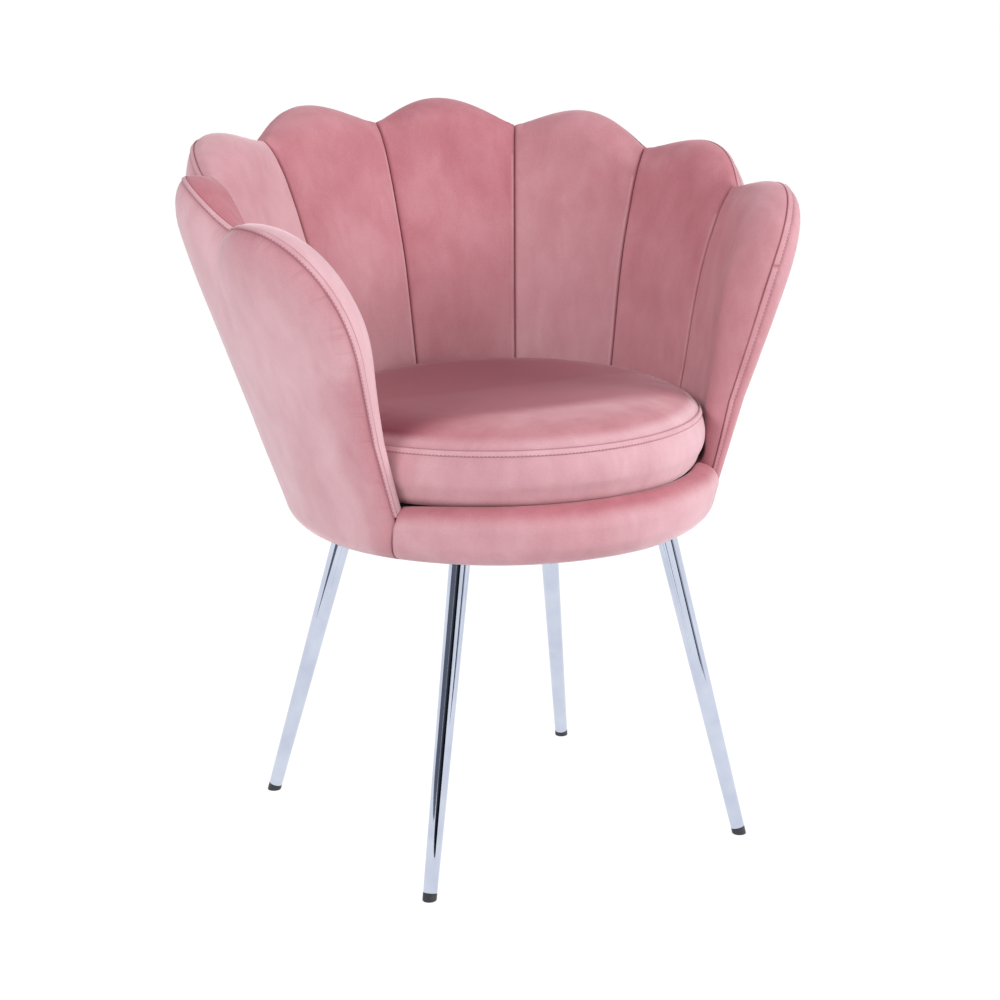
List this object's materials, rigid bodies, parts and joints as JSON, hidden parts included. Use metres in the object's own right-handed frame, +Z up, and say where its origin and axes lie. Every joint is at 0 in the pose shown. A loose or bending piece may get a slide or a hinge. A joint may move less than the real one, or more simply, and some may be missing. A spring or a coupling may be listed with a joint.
{
  "type": "scallop back tub chair",
  "caption": "Upholstered tub lounge chair with a scalloped channel back that wraps into the arms, a round loose seat cushion and splayed tapered metal legs.",
  "frame": {"origin": "on the floor, under the middle of the chair's footprint box", "axes": "+Z up, -Y towards the open front of the seat, +X to the right as seen from the front"},
  "size_m": [0.6916, 0.5734, 0.7829],
  "materials": {
    "velvet": "short-pile velvet over foam",
    "black_cloth": "non-woven backing cloth",
    "plywood": "bare plywood",
    "foam": "open-cell upholstery foam",
    "chrome": "mirror-plated steel tube",
    "steel": "zinc-plated",
    "black_plastic": "moulded"
  },
  "bodies": {
    "chair_frame": {"seat_board": "plywood", "dust_cover": "black_cloth", "base_ring": "plywood", "deck_board": "plywood", "deck_cloth": "black_cloth", "front_rail_pad": "velvet", "channel_pad_1": "velvet", "channel_pad_2": "velvet", "channel_pad_3": "velvet", "channel_pad_4": "velvet", "channel_pad_5": "velvet", "channel_pad_6": "velvet", "channel_pad_7": "velvet", "channel_pad_8": "velvet", "back_shell": "plywood", "outer_cover": "velvet", "rim_welt": "velvet", "shell_screw_1": "steel", "shell_screw_2": "steel", "shell_screw_3": "steel", "shell_screw_4": "steel", "shell_screw_5": "steel", "shell_screw_6": "steel", "leg_front_left": "chrome", "leg_front_right": "chrome", "leg_back_left": "chrome", "leg_back_right": "chrome", "leg_plate_front_left": "steel", "leg_plate_front_right": "steel", "leg_plate_back_left": "steel", "leg_plate_back_right": "steel", "foot_cap_front_left": "black_plastic", "foot_cap_front_right": "black_plastic", "foot_cap_back_left": "black_plastic", "foot_cap_back_right": "black_plastic", "leg_screw_front_left_1": "steel", "leg_screw_front_left_2": "steel", "leg_screw_front_left_3": "steel", "leg_screw_front_right_1": "steel", "leg_screw_front_right_2": "steel", "leg_screw_front_right_3": "steel", "leg_screw_back_left_1": "steel", "leg_screw_back_left_2": "steel", "leg_screw_back_left_3": "steel", "leg_screw_back_right_1": "steel", "leg_screw_back_right_2": "steel", "leg_screw_back_right_3": "steel"},
    "cushion": {"cushion_foam": "foam", "cushion_cover": "velvet", "cushion_base_panel": "black_cloth", "cushion_welt": "velvet"}
  },
  "joints": [
    {"name": "cushion_lift", "type": "slide", "parent": "chair_frame", "child": "cushion", "axis": [0, 0, 1], "range_m": [0, 0.42]}
  ]
}
